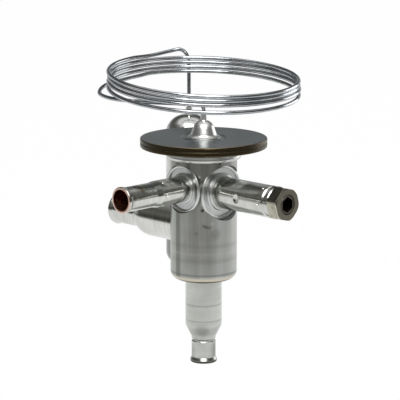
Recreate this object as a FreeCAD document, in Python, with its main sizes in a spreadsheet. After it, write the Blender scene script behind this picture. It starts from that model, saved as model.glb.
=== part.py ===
import FreeCAD, Part
import math
import os
import Sketcher
from FreeCAD import Placement, Rotation, Vector

# Thermostatic expansion valve, millimetres. +Z runs up the body's axis from the
# middle of the inlet socket's mouth. The setting spindle's arm points along +X,
# the pressure equalizer's along -Y and the outlet along -X.

doc = FreeCAD.newDocument("expansion_valve")
sheet = doc.addObject("Spreadsheet::Sheet", "Sizes")

SIZES = {
    # pressed body
    "body_radius": 10.0,
    "body_wall": 1.2,
    "body_bottom": 26.0,
    "body_top": 65.2,
    "body_floor": 1.5,
    "bottom_round": 2.6,
    "edge_round": 0.4,
    # pressed port pads: how far out, how wide, the neck and rim on each
    "spindle_level": 53.4,
    "spindle_pad_out": 7.2,
    "spindle_pad_radius": 8.3,
    "spindle_neck": 0.8,
    "spindle_rim": 0.15,
    "equalizer_level": 54.5,
    "equalizer_pad_out": 8.5,
    "equalizer_pad_radius": 7.2,
    "equalizer_neck": 0.55,
    "equalizer_rim": 0.35,
    "rim_width": 0.8,
    "outlet_level": 42.0,
    # inlet tube and its solder socket
    "socket_bore": 3.2,
    "liner_wall": 0.2,
    "socket_wall": 0.25,
    "tube_stop": 2.8,
    "inlet_socket_depth": 6.4,
    "inlet_lip_radius": 4.05,
    "lip_height": 0.8,
    "inlet_groove": 0.3,
    "inlet_shoulder_low": 7.9,
    "inlet_shoulder_high": 12.2,
    "inlet_radius": 5.5,
    "inlet_wall": 0.9,
    # equalizer tube
    "equalizer_reach": 33.7,
    "equalizer_radius": 3.95,
    "equalizer_step": 21.3,
    "equalizer_socket_depth": 8.5,
    "equalizer_lip_radius": 3.95,
    # outlet tube
    "outlet_reach": 37.5,
    "outlet_radius": 6.35,
    "outlet_wall": 0.75,
    "outlet_bore": 4.05,
    "outlet_stop": 3.6,
    "outlet_socket_depth": 9.0,
    "outlet_lip_radius": 4.9,
    "outlet_shoulder_near": 20.9,
    "outlet_shoulder_far": 26.6,
    # spindle tube, gland and spindle
    "spindle_tube_radius": 4.75,
    "spindle_tube_wall": 0.8,
    "spindle_tube_end": 30.6,
    "roll_groove": 28.6,
    "roll_bead_radius": 4.8,
    "gland_start": 20.7,
    "gland_face": 34.4,
    "gland_flats": 9.1,
    "gland_turn": 14.0,
    "gland_chamfer": 0.35,
    "gland_bore": 3.0,
    "spindle_shank": 2.4,
    "spindle_screw": 1.45,
    "spindle_tip": 1.7,
    "spindle_screw_end": 7.6,
    "spindle_recess": 0.05,
    "collar_radius": 3.3,
    "collar_width": 1.1,
    "bush_width": 2.8,
    "key_flats": 4.1,
    "key_turn": 30.0,
    "key_depth": 4.5,
    "oring_section": 0.48,
    "oring_groove": 1.3,
    "oring_first": 23.0,
    "oring_pitch": 3.4,
    # pressed stake marks
    "stake_radius": 0.55,
    "stake_depth": 0.3,
    "spindle_stakes_out": 27.0,
    "equalizer_stakes_out": 19.0,
    "bush_stake_out": 18.0,
    "bush_stake_length": 2.2,
    "bush_stake_height": 1.3,
    "bush_stake_depth": 0.4,
    # power element
    "element_radius": 19.0,
    "plate_thickness": 1.3,
    "plate_recess": 0.55,
    "recess_radius": 15.4,
    "seam": 0.15,
    "diaphragm_thickness": 0.2,
    "diaphragm_dish": 0.4,
    "neck_height": 1.0,
    "neck_flare": 1.5,
    "moat_radius": 6.4,
    "moat_width": 0.9,
    "moat_depth": 0.25,
    # bell that takes the capillary
    "bell_radius": 4.85,
    "bell_height": 5.3,
    "bell_wall": 0.6,
    "bell_neck": 0.95,
    "bell_neck_height": 1.9,
    "capillary_radius": 0.6,
    # parted seat, push rod and spring
    "running_gap": 0.05,
    "rod_radius": 1.2,
    "rod_tip_radius": 0.75,
    "rod_step": 33.0,
    "pad_clearance": 0.5,
    "pad_thickness": 1.35,
    "pad_hub_radius": 2.6,
    "pad_hub_length": 1.5,
    "guide_top": 48.0,
    "guide_thickness": 1.7,
    "guide_hub_radius": 3.2,
    "guide_hub_bottom": 42.5,
    "seal_section": 0.47,
    "seal_room": 2.4,
    "washer_height": 1.2,
    "wedge_tail": 5.6,
    "wedge_nose": 4.7,
    "wedge_half_width": 3.9,
    "wedge_slot": 1.6,
    "wedge_slot_end": 2.8,
    "wedge_height": 8.75,
    "wedge_slope": 0.25,
    "seat_radius": 5.7,
    "seat_top": 60.0,
    "seat_boss_radius": 3.4,
    "seat_boss_height": 0.8,
    "spring_radius": 4.35,
    "spring_wire": 0.55,
    "spring_turns": 3.0,
    "orifice_radius": 1.5,
    "orifice_level": 28.3,
    "orifice_top": 31.0,
    "orifice_stem_bottom": 23.5,
    "orifice_chamber": 3.2,
    "flange_clearance": 0.2,
    "orifice_flange": 1.7,
    "cone_radius": 2.3,
    "cone_bottom": 25.0,
    "cone_shoulder": 0.9,
    "strainer_rim": 1.0,
    "strainer_length": 9.8,
    "strainer_wall": 0.35,
    "strainer_end_radius": 2.1,
    # capillary coil
    "coil_radius": 28.2,
    "coil_bottom": 82.95,
    "coil_pitch": 1.3,
    "coil_loosening": 0.06,
    "coil_turns": 3.935,
    "coil_tilt": 3.69,
    "coil_lean": 1.73,
    "coil_sag": 0.9,
    "coil_ovality": 0.15,
    "capillary_insertion": 1.3,
    # sensing bulb
    "bulb_radius": 7.25,
    "bulb_bottom": 23.8,
    "bulb_top": 71.0,
    "bulb_across": 4.67,
    "bulb_behind": 30.0,
    "bulb_bottom_round": 3.75,
    "bulb_neck_radius": 1.05,
    "bulb_neck_height": 2.1,
    "bulb_hole_depth": 1.2,
}

for row, (name, number) in enumerate(SIZES.items(), start=1):
    sheet.set(f"A{row}", name)
    sheet.set(f"B{row}", str(number))
    sheet.setAlias(f"B{row}", name)
doc.recompute()


class Size:
    # a length that knows its number and the sheet formula behind it
    def __init__(self, number, formula):
        self.number = number
        self.formula = formula

    def __add__(self, other):
        other = size(other)
        return Size(self.number + other.number, f"({self.formula} + {other.formula})")

    def __radd__(self, other):
        return size(other) + self

    def __sub__(self, other):
        other = size(other)
        return Size(self.number - other.number, f"({self.formula} - {other.formula})")

    def __rsub__(self, other):
        return size(other) - self

    def __mul__(self, other):
        other = size(other)
        return Size(self.number * other.number, f"({self.formula} * {other.formula})")

    def __rmul__(self, other):
        return size(other) * self

    def __truediv__(self, other):
        other = size(other)
        return Size(self.number / other.number, f"({self.formula} / {other.formula})")

    def __neg__(self):
        return Size(-self.number, f"(-1 * {self.formula})")


def size(value):
    # a sheet word, a plain number or a finished Size
    if isinstance(value, Size):
        return value
    if isinstance(value, str):
        return Size(float(sheet.get(value)), f"Sizes.{value}")
    return Size(float(value), f"{float(value):g}")


UP = Rotation()
TO_SPINDLE = Rotation(Vector(0, 1, 0), 90)
TO_EQUALIZER = Rotation(Vector(1, 0, 0), 90)
TO_OUTLET = Rotation(Vector(0, 1, 0), -90)
SCREEN_TURN = Rotation(Vector(0, 0, 1), 45)
made = []


def stand(piece, level=None, turn=UP):
    # lays a piece that was drawn along its own Z on its arm of the valve
    piece.Placement = Placement(Vector(0, 0, 0), turn)
    if level is not None:
        piece.setExpression("Placement.Base.z", size(level).formula)
    return piece


def keep(piece, label):
    piece.Label = label
    made.append(piece)
    return piece


def new_body(name, level=None, turn=UP):
    return stand(doc.addObject("PartDesign::Body", name), level, turn)


def origin_plane(body, role):
    return [item for item in body.Origin.OriginFeatures if item.Role == role][0]


def hold(sketch, corner, geometry, end):
    # ties one sketch point to its two sheet formulas
    for word, axis, value in (("DistanceX", -2, corner[0]), ("DistanceY", -1, corner[1])):
        if value.formula == "0":
            sketch.addConstraint(Sketcher.Constraint("PointOnObject", geometry, end, axis))
            continue
        ends = (-1, 1, geometry, end)
        if value.number < 0:
            ends = (geometry, end, -1, 1)
            value = -value
        index = sketch.addConstraint(Sketcher.Constraint(word, *ends, value.number))
        sketch.setExpression(f"Constraints[{index}]", value.formula)


def draw(body, name, outline, plane="XZ_Plane", lift=None):
    # closed outline: (across, along) corners, or (across, along, radius) where the
    # side that ends there is an arc, counter-clockwise when the radius is positive
    sketch = body.newObject("Sketcher::SketchObject", name)
    sketch.AttachmentSupport = (origin_plane(body, plane), "")
    sketch.MapMode = "FlatFace"
    if lift is not None:
        sketch.setExpression("AttachmentOffset.Base.z", size(lift).formula)
    corners = [(size(corner[0]), size(corner[1])) for corner in outline]
    bends = [size(corner[2]) if len(corner) > 2 else None for corner in outline]
    ends = []
    for index, start in enumerate(corners):
        after = (index + 1) % len(corners)
        first = Vector(start[0].number, start[1].number, 0)
        last = Vector(corners[after][0].number, corners[after][1].number, 0)
        bend = bends[after]
        if bend is None:
            sketch.addGeometry(Part.LineSegment(first, last))
            ends.append((1, 2))
            continue
        chord = last - first
        radius = abs(bend.number)
        side = math.copysign(1.0, bend.number)
        height = math.sqrt(max(radius**2 - chord.Length**2 / 4, 0.0))
        left = Vector(-chord.y, chord.x, 0).normalize()
        centre = (first + last) * 0.5 + left * (side * height)
        if side < 0:
            first, last = last, first
        begin = math.atan2(first.y - centre.y, first.x - centre.x)
        finish = math.atan2(last.y - centre.y, last.x - centre.x)
        if finish < begin:
            finish += 2 * math.pi
        circle = Part.Circle(centre, Vector(0, 0, 1), radius)
        sketch.addGeometry(Part.ArcOfCircle(circle, begin, finish))
        ends.append((1, 2) if side > 0 else (2, 1))
        place = sketch.addConstraint(Sketcher.Constraint("Radius", index, radius))
        bend = bend if side > 0 else -bend
        sketch.setExpression(f"Constraints[{place}]", bend.formula)
    for index in range(len(corners)):
        after = (index + 1) % len(corners)
        meet = (index, ends[index][1], after, ends[after][0])
        sketch.addConstraint(Sketcher.Constraint("Coincident", *meet))
        hold(sketch, corners[index], index, ends[index][0])
    return sketch


def draw_circle(body, name, radius, plane="XY_Plane", centre=(0, 0), lift=None):
    sketch = body.newObject("Sketcher::SketchObject", name)
    sketch.AttachmentSupport = (origin_plane(body, plane), "")
    sketch.MapMode = "FlatFace"
    if lift is not None:
        sketch.setExpression("AttachmentOffset.Base.z", size(lift).formula)
    middle = (size(centre[0]), size(centre[1]))
    radius = size(radius)
    at = Vector(middle[0].number, middle[1].number, 0)
    sketch.addGeometry(Part.Circle(at, Vector(0, 0, 1), radius.number))
    index = sketch.addConstraint(Sketcher.Constraint("Radius", 0, radius.number))
    sketch.setExpression(f"Constraints[{index}]", radius.formula)
    hold(sketch, middle, 0, 3)
    return sketch


def hexagon(flats, turn):
    # corners of a hexagon of this width across flats, its first corner turned clockwise
    # from the outline's second axis by the size named turn, in degrees
    corner = size(flats) / math.sqrt(3)
    begin = math.radians(size(turn).number)
    corners = []
    for step in range(6):
        angle = math.pi / 3 * step - begin
        shares = (-math.sin(angle), math.cos(angle))
        corners.append([corner * share if abs(share) > 1e-9 else 0 for share in shares])
    return corners


def turn_solid(body, name, outline, cut=False):
    # a turned form: the outline spun round the piece's own Z
    sketch = draw(body, f"{name}_outline", outline)
    kind = "PartDesign::Groove" if cut else "PartDesign::Revolution"
    spun = body.newObject(kind, name)
    spun.Profile = sketch
    spun.ReferenceAxis = (sketch, ["V_Axis"])
    spun.Angle = 360
    return spun


def turned(label, outline, level=None, turn=UP):
    body = new_body(label, level, turn)
    turn_solid(body, f"{label}_form", outline)
    return keep(body, label)


def pocket(body, name, sketch, length=None, both=False, flip=False):
    cut = body.newObject("PartDesign::Pocket", name)
    cut.Profile = sketch
    if both:
        cut.SideType = "Symmetric"
    if length is None:
        cut.Type = "ThroughAll"
    else:
        cut.setExpression("Length", size(length).formula)
    cut.Reversed = flip
    return cut


def pad(body, name, sketch, length, both=False):
    grown = body.newObject("PartDesign::Pad", name)
    grown.Profile = sketch
    if both:
        grown.SideType = "Symmetric"
    grown.setExpression("Length", size(length).formula)
    return grown


def rod_tool(name, radius, start, length, level, turn):
    # a plain cylinder along one arm, from start outwards
    tool = doc.addObject("Part::Cylinder", name)
    tool.setExpression("Radius", size(radius).formula)
    tool.setExpression("Height", size(length).formula)
    start = size(start)
    tool.Placement = Placement(Vector(0, 0, 0), turn)
    way = turn.multVec(Vector(0, 0, 1))
    for axis, share in (("x", way.x), ("y", way.y)):
        if abs(share) > 0.5:
            tool.setExpression(f"Placement.Base.{axis}", (start * round(share)).formula)
    tool.setExpression("Placement.Base.z", size(level).formula)
    return tool


def ring(label, middle, section, along, level=None, turn=UP):
    # an O-ring round the piece's own Z
    torus = doc.addObject("Part::Torus", label)
    torus.setExpression("Radius1", size(middle).formula)
    torus.setExpression("Radius2", size(section).formula)
    torus.Placement = Placement(Vector(0, 0, 0), turn)
    way = turn.multVec(Vector(0, 0, 1))
    if abs(way.x) > 0.5:
        torus.setExpression("Placement.Base.x", size(along).formula)
        torus.setExpression("Placement.Base.z", size(level).formula)
    else:
        torus.setExpression("Placement.Base.z", size(along).formula)
    return keep(torus, label)


# Values that several pieces share
body_inner = size("body_radius") - "body_wall"
liner_outer = size("socket_bore") + "liner_wall"
socket_outer = liner_outer + "socket_wall"
outlet_liner_outer = size("outlet_bore") + "liner_wall"
outlet_socket_outer = outlet_liner_outer + "socket_wall"
outlet_inner = size("outlet_radius") - "outlet_wall"
inlet_inner = size("inlet_radius") - "inlet_wall"
floor_top = size("body_bottom") + "body_floor"
floor_rounding = size("bottom_round") - "body_wall"
spindle_inner_face = size("spindle_pad_out") - "body_wall"
equalizer_inner_face = size("equalizer_pad_out") - "body_wall"
spindle_tube_bore = size("spindle_tube_radius") - "spindle_tube_wall"
base_bottom = size("body_top") + "neck_height"
diaphragm_bottom = base_bottom + "plate_thickness"
cover_bottom = diaphragm_bottom + "diaphragm_thickness"
cover_top = cover_bottom + "plate_thickness"
pad_top = diaphragm_bottom - "diaphragm_dish" - "running_gap"
pad_bottom = pad_top - "pad_thickness"
pad_radius = body_inner - "pad_clearance"


# The body: a pressed steel cup with a flat pad, a drawn neck and a rim at each side port
def port_boss(name, out, radius, neck, rim, tube, level, turn):
    # a pressed pad: flat disc, raised rim at its edge and a neck that sweeps up to the tube
    out = size(out)
    radius = size(radius)
    neck = size(neck)
    top = size(tube) + 0.3
    edge = size("edge_round") / 2
    crest = out + rim
    body = new_body(name, level, turn)
    outline = [
        (0, 0),
        (radius, 0),
        (radius, crest - edge),
        (radius - edge, crest, edge),
        (radius - size("rim_width") + edge, crest),
        (radius - "rim_width", out),
        (top + neck, out),
        (top, out + neck, -neck),
        (0, out + neck),
    ]
    turn_solid(body, f"{name}_form", outline)
    return body


def make_valve_body():
    zb = size("body_bottom")
    top = size("body_top")
    outer = size("body_radius")
    rounding = size("bottom_round")
    form = new_body("cup_outside")
    turn_solid(form, "cup_outside_form", [
        (0, zb),
        (outer - rounding, zb),
        (outer, zb + rounding, rounding),
        (outer, top),
        (0, top),
    ])
    hollow = new_body("cup_inside")
    turn_solid(hollow, "cup_inside_form", [
        (0, floor_top),
        (body_inner - floor_rounding, floor_top),
        (body_inner, floor_top + floor_rounding, floor_rounding),
        (body_inner, top + 1),
        (0, top + 1),
    ])
    spindle_port = ("spindle_level", TO_SPINDLE)
    equalizer_port = ("equalizer_level", TO_EQUALIZER)
    outlet_port = ("outlet_level", TO_OUTLET)
    bosses = [
        port_boss("spindle_boss", "spindle_pad_out", "spindle_pad_radius", "spindle_neck",
                  "spindle_rim", "spindle_tube_radius", *spindle_port),
        port_boss("equalizer_boss", "equalizer_pad_out", "equalizer_pad_radius", "equalizer_neck",
                  "equalizer_rim", "equalizer_radius", *equalizer_port),
    ]
    beyond = size("body_radius")
    dents = [
        rod_tool("spindle_dent", "spindle_pad_radius", "spindle_pad_out", beyond, *spindle_port),
        rod_tool("equalizer_dent", "equalizer_pad_radius", "equalizer_pad_out", beyond,
                 *equalizer_port),
    ]
    cores = [
        rod_tool("spindle_core", size("spindle_pad_radius") + "body_wall", spindle_inner_face,
                 beyond, *spindle_port),
        rod_tool("equalizer_core", size("equalizer_pad_radius") + "body_wall",
                 equalizer_inner_face, beyond, *equalizer_port),
    ]
    holes = [
        rod_tool("spindle_hole", "spindle_tube_radius", 3, beyond, *spindle_port),
        rod_tool("equalizer_hole", "equalizer_radius", 3, beyond, *equalizer_port),
        rod_tool("outlet_hole", "outlet_radius", 3, beyond, *outlet_port),
        rod_tool("inlet_hole", "inlet_radius", 0, size("body_floor") * 3, zb - "body_floor", UP),
    ]
    dented = doc.addObject("Part::MultiFuse", "dents")
    dented.Shapes = dents
    cup = doc.addObject("Part::Cut", "dented_cup")
    cup.Base = form
    cup.Tool = dented
    outside = doc.addObject("Part::MultiFuse", "cup_with_bosses")
    outside.Shapes = [cup, *bosses]
    kept = doc.addObject("Part::MultiFuse", "cores")
    kept.Shapes = cores
    inside = doc.addObject("Part::Cut", "cup_hollow")
    inside.Base = hollow
    inside.Tool = kept
    open_space = doc.addObject("Part::MultiFuse", "open_space")
    open_space.Shapes = [inside, *holes]
    shell = doc.addObject("Part::Cut", "valve_body")
    shell.Base = outside
    shell.Tool = open_space
    keep(shell, "valve_body")


def stakes(body, name, out, outer, side):
    # six small pressed marks round a tube, the first on its own X or Y side
    dent = body.newObject("PartDesign::SubtractiveSphere", f"{name}_mark")
    dent.setExpression("Radius", size("stake_radius").formula)
    reach = size(outer) + "stake_radius" - "stake_depth"
    dent.Placement = Placement(Vector(0, 0, 0), UP)
    dent.setExpression(f"Placement.Base.{side}", reach.formula)
    dent.setExpression("Placement.Base.z", size(out).formula)
    marks = body.newObject("PartDesign::PolarPattern", f"{name}_marks")
    marks.Originals = [dent]
    marks.Axis = (origin_plane(body, "Z_Axis"), [""])
    marks.Angle = 360
    marks.Occurrences = 6
    body.Tip = marks
    return marks


# Tubes: thin steel with a copper liner where the pipe is soldered in
def make_inlet():
    lip = size("inlet_lip_radius")
    low = size("inlet_shoulder_low")
    high = size("inlet_shoulder_high")
    stop = size("inlet_socket_depth")
    groove = size("inlet_groove")
    wide = size("inlet_radius")
    turned("inlet_tube", [
        (liner_outer, 0),
        (lip - 0.3, 0),
        (lip, 0.3, 0.3),
        (lip, "lip_height"),
        (socket_outer, size("lip_height") * 2),
        (socket_outer, stop + 0.1),
        (socket_outer - groove, stop + 0.1 + groove),
        (socket_outer - groove, stop + 0.3 + groove),
        (socket_outer, stop + 0.4 + groove * 2),
        (socket_outer, low),
        (wide - 0.35, high - 1.3),
        (wide, high, 2.6),
        (wide, floor_top),
        (inlet_inner, floor_top),
        (inlet_inner, high + 0.6),
        ("tube_stop", low + 1.3),
        ("tube_stop", stop),
        (liner_outer, stop),
    ])
    turned("inlet_liner", [
        ("socket_bore", 0),
        (liner_outer, 0),
        (liner_outer, stop),
        ("socket_bore", stop),
    ])


def make_equalizer():
    reach = size("equalizer_reach")
    stop = reach - "equalizer_socket_depth"
    step = size("equalizer_step")
    body = new_body("equalizer_tube", "equalizer_level", TO_EQUALIZER)
    turn_solid(body, "equalizer_tube_form", [
        ("tube_stop", equalizer_inner_face),
        ("equalizer_radius", equalizer_inner_face),
        ("equalizer_radius", step - 1.0),
        (socket_outer, step + 1.0),
        (socket_outer, reach - size("lip_height") * 2),
        ("equalizer_lip_radius", reach - "lip_height"),
        ("equalizer_lip_radius", reach - 0.3),
        (size("equalizer_lip_radius") - 0.3, reach, 0.3),
        (liner_outer, reach),
        (liner_outer, stop),
        ("tube_stop", stop),
    ])
    stakes(body, "equalizer_tube", "equalizer_stakes_out", "equalizer_radius", "x")
    keep(body, "equalizer_tube")
    turned("equalizer_liner", [
        ("socket_bore", stop),
        (liner_outer, stop),
        (liner_outer, reach),
        ("socket_bore", reach),
    ], "equalizer_level", TO_EQUALIZER)


def make_outlet():
    reach = size("outlet_reach")
    stop = reach - "outlet_socket_depth"
    near = size("outlet_shoulder_near")
    far = size("outlet_shoulder_far")
    wide = size("outlet_radius")
    # the shoulder leaves the wide tube as an arc and ends in a short slope to the socket
    slope_end = outlet_socket_outer + 0.42
    drop = wide - slope_end
    run = far - 0.8 - near
    bend = (run * run + drop * drop) / (drop * 2)
    body = new_body("outlet_tube", "outlet_level", TO_OUTLET)
    turn_solid(body, "outlet_tube_form", [
        (outlet_inner, 0),
        (wide, 0),
        (wide, near),
        (slope_end, far - 0.8, bend),
        (outlet_socket_outer, far),
        (outlet_socket_outer, reach - size("lip_height") * 2),
        ("outlet_lip_radius", reach - "lip_height"),
        ("outlet_lip_radius", reach - 0.3),
        (size("outlet_lip_radius") - 0.3, reach, 0.3),
        (outlet_liner_outer, reach),
        (outlet_liner_outer, stop),
        ("outlet_stop", stop),
        ("outlet_stop", stop - 1.4),
        (outlet_inner, near),
    ])
    saddle = draw_circle(body, "outlet_saddle", body_inner, plane="YZ_Plane")
    pocket(body, "outlet_mouth", saddle, both=True)
    keep(body, "outlet_tube")
    turned("outlet_liner", [
        ("outlet_bore", stop),
        (outlet_liner_outer, stop),
        (outlet_liner_outer, reach),
        ("outlet_bore", reach),
    ], "outlet_level", TO_OUTLET)


# The setting arm: staked tube, hexagonal gland, captive spindle and its bush
def make_spindle_tube():
    tube = size("spindle_tube_radius")
    groove = size("roll_groove")
    bead = size("roll_bead_radius")
    end = size("spindle_tube_end")
    body = new_body("spindle_tube", "spindle_level", TO_SPINDLE)
    turn_solid(body, "spindle_tube_form", [
        (spindle_tube_bore, spindle_inner_face),
        (tube, spindle_inner_face),
        (tube, groove - 0.5),
        (tube - 0.3, groove - 0.1),
        (tube - 0.3, groove + 0.1),
        (bead, groove + 0.6),
        (bead, end - 0.3),
        (bead - 0.2, end),
        (spindle_tube_bore, end),
    ])
    dent = body.newObject("PartDesign::SubtractiveEllipsoid", "bush_stake")
    dent.setExpression("Radius1", (size("bush_stake_depth") * 2).formula)
    dent.setExpression("Radius2", size("bush_stake_length").formula)
    dent.setExpression("Radius3", size("bush_stake_height").formula)
    dent.Placement = Placement(Vector(0, 0, 0), Rotation(Vector(-1, 0, 0), Vector(0, 0, 1),
                                                         Vector(0, -1, 0), "ZXY"))
    dent.setExpression("Placement.Base.y", (-(tube + "bush_stake_depth")).formula)
    dent.setExpression("Placement.Base.z", size("bush_stake_out").formula)
    stakes(body, "spindle_tube", "spindle_stakes_out", tube, "y")
    keep(body, "spindle_tube")


def make_gland():
    face = size("gland_face")
    back = size("spindle_tube_end")
    start = size("gland_start")
    corner = size("gland_flats") / math.sqrt(3)
    half = size("gland_flats") / 2
    body = new_body("gland_nut", "spindle_level", TO_SPINDLE)
    nut = draw(body, "gland_hexagon", hexagon("gland_flats", "gland_turn"), "XY_Plane", back)
    pad(body, "gland_head", nut, face - back)
    turn_solid(body, "gland_shank", [
        ("gland_bore", start),
        (spindle_tube_bore - "running_gap", start),
        (spindle_tube_bore - "running_gap", back),
        ("gland_bore", back),
    ])
    turn_solid(body, "gland_corners", [
        (half, face + 0.01),
        (half + 0.1, face),
        (corner + 0.05, face - "gland_chamfer"),
        (corner + 0.05, face + 0.01),
    ], cut=True)
    bore = draw_circle(body, "gland_bore_circle", "gland_bore")
    pocket(body, "gland_bore_hole", bore, both=True)
    keep(body, "gland_nut")


def make_spindle():
    shank = size("spindle_shank")
    seal = size("gland_bore") - "running_gap"
    floor = size("gland_bore") - size("oring_section") * 2 - 0.04
    collar = size("gland_start") - "running_gap" * size(2)
    face = size("gland_face") - "spindle_recess"
    screw_end = size("spindle_screw_end")
    grooves = []
    for index in range(2):
        low = size("oring_first") + size("oring_pitch") * index
        high = low + "oring_groove"
        grooves += [(seal, low), (floor, low), (floor, high), (seal, high)]
        label = ("inner", "outer")[index] + "_oring"
        ring(label, floor + "oring_section" + 0.02, "oring_section", low + size("oring_groove") / 2,
             "spindle_level", TO_SPINDLE)
    body = new_body("setting_spindle", "spindle_level", TO_SPINDLE)
    turn_solid(body, "setting_spindle_form", [
        (0, "spindle_tip"),
        (size("spindle_screw") - 0.3, "spindle_tip"),
        ("spindle_screw", size("spindle_tip") + 0.3),
        ("spindle_screw", screw_end),
        (shank, screw_end + 0.5),
        (shank, collar - "collar_width"),
        ("collar_radius", collar - "collar_width"),
        ("collar_radius", collar),
        (seal, collar),
        *grooves,
        (seal, face - 0.2),
        (seal - 0.2, face),
        (0, face),
    ])
    key = draw(body, "key_hexagon", hexagon("key_flats", "key_turn"), "XY_Plane", face)
    pocket(body, "key_socket", key, "key_depth")
    keep(body, "setting_spindle")
    bush_end = collar - "collar_width" - size("running_gap") * 2
    turned("spindle_bush", [
        (shank + "running_gap", bush_end - "bush_width"),
        (spindle_tube_bore, bush_end - "bush_width"),
        (spindle_tube_bore, bush_end),
        (shank + "running_gap", bush_end),
    ], "spindle_level", TO_SPINDLE)


# The power element: two plates welded round a thin diaphragm
def make_element():
    edge = size("edge_round")
    rim = size("element_radius")
    neck = size("body_radius") + 0.15
    clamp = rim - "seam"
    turned("element_base", [
        (body_inner, "body_top"),
        (neck, "body_top"),
        (neck + "neck_flare", base_bottom, size(-2.0)),
        (rim - edge, base_bottom),
        (rim, base_bottom + edge, edge),
        (rim, diaphragm_bottom - "seam"),
        (clamp, diaphragm_bottom),
        (size("recess_radius") + 0.3, diaphragm_bottom),
        ("recess_radius", diaphragm_bottom - "plate_recess"),
        (body_inner, diaphragm_bottom - "plate_recess"),
    ])
    turned("element_cover", [
        ("capillary_radius", cover_top - "plate_thickness" + "plate_recess"),
        ("recess_radius", cover_top - "plate_thickness" + "plate_recess"),
        (size("recess_radius") + 0.3, cover_bottom),
        (clamp, cover_bottom),
        (rim, cover_bottom + "seam"),
        (rim, cover_top - edge),
        (rim - edge, cover_top, edge),
        (size("moat_radius") + size("moat_width") / 2, cover_top),
        (size("moat_radius") + size("moat_width") / 2 - 0.2, cover_top - "moat_depth"),
        (size("moat_radius") - size("moat_width") / 2 + 0.2, cover_top - "moat_depth"),
        (size("moat_radius") - size("moat_width") / 2, cover_top),
        ("capillary_radius", cover_top),
    ])
    # the diaphragm: flat clamped rim, three rolled waves and a flat dished middle
    sheet_up = size("diaphragm_thickness")
    low = diaphragm_bottom - "diaphragm_dish"
    wave_end = size("recess_radius") - 0.3
    middle = pad_radius + "pad_clearance"
    wave = (wave_end - middle) / 6
    climb = size("diaphragm_dish") / 6
    under = [(0, low), (middle, low)]
    over = [(middle, low + sheet_up), (0, low + sheet_up)]
    for step in range(1, 7):
        bow = size(1.6 if step % 2 else -1.6)
        across = middle + wave * step
        along = low + climb * step
        under.append((across, along, bow))
        over.insert(0, (across, along + sheet_up))
    for step in range(6):
        bow = -1.6 if step % 2 == 0 else 1.6
        across, along = over[step + 1][:2]
        over[step + 1] = (across, along, -size(bow) if bow < 0 else size(-bow))
    under.append((clamp, diaphragm_bottom))
    over.insert(0, (clamp, diaphragm_bottom + sheet_up))
    turned("diaphragm", under + over)


def make_bell():
    foot = cover_top
    top = foot + "bell_height"
    wide = size("bell_radius")
    neck = size("bell_neck")
    wall = size("bell_wall")
    tube = size("capillary_radius")
    turned("bell_cap", [
        (wide - 1.15 - wall, foot),
        (wide, foot),
        (wide, foot + 0.25),
        (wide - 1.1, foot + 1.4, size(-1.5)),
        (wide - 1.6, foot + 2.9),
        (neck + 0.2, top - 0.25, 3.2),
        (neck, top + 0.15, size(-0.6)),
        (neck, top + "bell_neck_height"),
        (tube, top + "bell_neck_height"),
        (tube, top - wall - 0.2),
        (wide - 1.6 - wall, foot + 2.7, size(-2.6)),
    ])


# The moving core: thrust pad, push rod and cone, the spring that lifts them and its seat
def make_core():
    rod = size("rod_radius")
    hub = size("pad_hub_radius")
    wide = pad_radius
    turned("thrust_pad", [
        (rod, pad_bottom - "pad_hub_length"),
        (hub, pad_bottom - "pad_hub_length"),
        (hub, pad_bottom),
        (wide - 0.3, pad_bottom),
        (wide, pad_bottom + 0.3, 0.3),
        (wide, pad_top - 0.2),
        (wide - 0.2, pad_top),
        (0, pad_top),
        (0, pad_top - 0.6),
        (rod, pad_top - 0.6),
    ])
    tip = size("rod_tip_radius")
    step = size("rod_step")
    seat = size("orifice_level")
    tip_end = size("cone_bottom") + 1.2
    turned("push_rod", [
        (0, tip_end),
        (tip, tip_end),
        (tip, step),
        (rod, step + 0.6),
        (rod, pad_top - 0.6),
        (0, pad_top - 0.6),
    ])
    bottom = size("cone_bottom")
    wide = size("cone_radius")
    turned("valve_cone", [
        (0, bottom),
        (wide - 0.4, bottom),
        (wide, bottom + 0.4),
        (wide, seat - "cone_shoulder"),
        (size("orifice_radius") - "running_gap", seat),
        (tip + 0.15, seat + 0.7),
        (tip, seat + 0.7),
        (tip, tip_end),
        (0, tip_end),
    ])


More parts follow.
